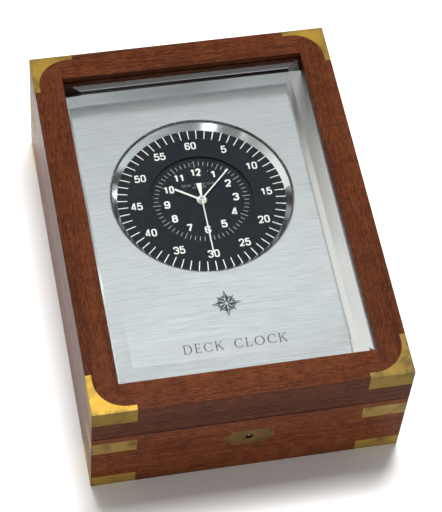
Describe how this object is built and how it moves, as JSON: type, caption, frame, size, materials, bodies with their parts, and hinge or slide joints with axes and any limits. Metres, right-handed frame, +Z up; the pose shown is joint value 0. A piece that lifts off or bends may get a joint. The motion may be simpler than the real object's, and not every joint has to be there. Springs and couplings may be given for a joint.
{
  "type": "ships deck clock",
  "caption": "Low brass-bound wooden box with a hinged glazed lid over a brushed metal panel that carries a recessed two-ring dial and a quartz movement.",
  "frame": {"origin": "centre of the box's underside, between its four outer faces", "axes": "+X to the right seen from the lock side, +Y from the lock side to the hinges, +Z up"},
  "size_m": [0.165, 0.2301, 0.076],
  "materials": {
    "mahogany": "satin varnish",
    "plywood": "plain",
    "baize": "woven wool",
    "corner_brass": "aged, worn",
    "hardware_brass": "satin",
    "screw_steel": "turned",
    "lock_steel": "satin",
    "panel_steel": "brushed along X",
    "surround_metal": "polished",
    "bezel_metal": "polished",
    "window_glass": "polished",
    "crystal_glass": "polished",
    "gasket_rubber": "matte",
    "dial_black": "satin",
    "hand_white": "satin",
    "cup_metal": "spun",
    "wheel_brass": "satin",
    "arbor_steel": "polished",
    "stator_iron": "plain",
    "bobbin_plastic": "moulded",
    "coil_copper": "enamelled wire",
    "board_green": "solder mask",
    "can_metal": "drawn",
    "battery_jacket": "printed film",
    "holder_plastic": "moulded",
    "contact_nickel": "nickel plated",
    "knob_plastic": "moulded"
  },
  "bodies": {
    "case": {"base_front_board": "mahogany", "base_back_board": "mahogany", "base_left_board": "mahogany", "base_right_board": "mahogany", "bottom_board": "plywood", "baize_pad": "baize", "base_corner_straps": "corner_brass", "escutcheon": "corner_brass", "lock_case": "lock_steel", "lock_screws": "screw_steel", "hinge_base_leaves": "hardware_brass", "hinge_pins": "hardware_brass", "hinge_base_screws": "hardware_brass", "ledge_rails": "plywood", "surround_frame": "surround_metal", "surround_screws": "screw_steel", "steel_panel": "panel_steel", "bezel_ring": "bezel_metal", "crystal_gasket": "gasket_rubber", "dial_crystal": "crystal_glass", "chapter_ring": "dial_black", "centre_dial": "dial_black", "movement_cup": "cup_metal", "panel_nuts": "screw_steel", "front_plate": "wheel_brass", "back_plate": "wheel_brass", "plate_pillars": "wheel_brass", "plate_screws": "screw_steel", "stator": "stator_iron", "coil_bobbin": "bobbin_plastic", "coil_winding": "coil_copper", "circuit_board": "board_green", "quartz_can": "can_metal", "battery": "battery_jacket", "battery_holder": "holder_plastic", "battery_contacts": "contact_nickel"},
    "lid": {"lid_front_rail": "mahogany", "lid_back_rail": "mahogany", "lid_left_rail": "mahogany", "lid_right_rail": "mahogany", "lid_corner_brackets": "corner_brass", "window_glass": "window_glass", "glazing_beads": "mahogany", "strike_plate": "hardware_brass", "strike_screws": "hardware_brass", "hinge_lid_leaves": "hardware_brass", "hinge_lid_screws": "hardware_brass"},
    "bolt": {"lock_bolt": "lock_steel"},
    "seconds": {"seconds_wheel": "wheel_brass", "seconds_hand": "hand_white"},
    "minutes": {"centre_wheel": "wheel_brass", "minute_hand": "hand_white"},
    "hours": {"hour_wheel": "wheel_brass", "hour_hand": "hand_white"},
    "third": {"third_wheel": "wheel_brass"},
    "motion": {"minute_wheel": "wheel_brass"},
    "intermediate": {"intermediate_wheel": "wheel_brass"},
    "motor_rotor": {"rotor": "arbor_steel"},
    "setting": {"setting_arbor": "arbor_steel", "setting_knob": "knob_plastic"}
  },
  "joints": [
    {"name": "lid_hinge", "type": "hinge", "parent": "case", "child": "lid", "pos_m": [0, 0.1152, 0.05], "axis": [-1, 0, 0], "range_deg": [0, 100]},
    {"name": "bolt_slide", "type": "slide", "parent": "case", "child": "bolt", "axis": [1, 0, 0], "range_m": [0, 0.004]},
    {"name": "seconds_spin", "type": "hinge", "parent": "case", "child": "seconds", "pos_m": [0, 0.0277, 0.035], "axis": [0, 0, -1], "continuous": true},
    {"name": "minutes_spin", "type": "hinge", "parent": "case", "child": "minutes", "pos_m": [0, 0.0277, 0.035], "axis": [0, 0, -1], "continuous": true},
    {"name": "hours_spin", "type": "hinge", "parent": "case", "child": "hours", "pos_m": [0, 0.0277, 0.035], "axis": [0, 0, -1], "continuous": true},
    {"name": "third_spin", "type": "hinge", "parent": "case", "child": "third", "pos_m": [0, 0.0457, 0.035], "axis": [0, 0, -1], "continuous": true},
    {"name": "motion_spin", "type": "hinge", "parent": "case", "child": "motion", "pos_m": [-0.012, 0.0277, 0.035], "axis": [0, 0, -1], "continuous": true},
    {"name": "intermediate_spin", "type": "hinge", "parent": "case", "child": "intermediate", "pos_m": [-0.00616, 0.01079, 0.035], "axis": [0, 0, -1], "continuous": true},
    {"name": "rotor_spin", "type": "hinge", "parent": "case", "child": "motor_rotor", "pos_m": [-0.00197, -0.00073, 0.035], "axis": [0, 0, -1], "continuous": true},
    {"name": "setting_spin", "type": "hinge", "parent": "case", "child": "setting", "pos_m": [-0.02545, 0.02888, 0.035], "axis": [0, 0, -1], "continuous": true}
  ],
  "couplings": [
    {"joint": "minutes_spin", "follows": "seconds_spin", "ratio": 0.016667},
    {"joint": "hours_spin", "follows": "seconds_spin", "ratio": 0.0013889},
    {"joint": "third_spin", "follows": "seconds_spin", "ratio": -0.13333},
    {"joint": "motion_spin", "follows": "seconds_spin", "ratio": -0.0055556},
    {"joint": "intermediate_spin", "follows": "seconds_spin", "ratio": -5},
    {"joint": "rotor_spin", "follows": "seconds_spin", "ratio": 30},
    {"joint": "setting_spin", "follows": "seconds_spin", "ratio": 0.011111}
  ]
}
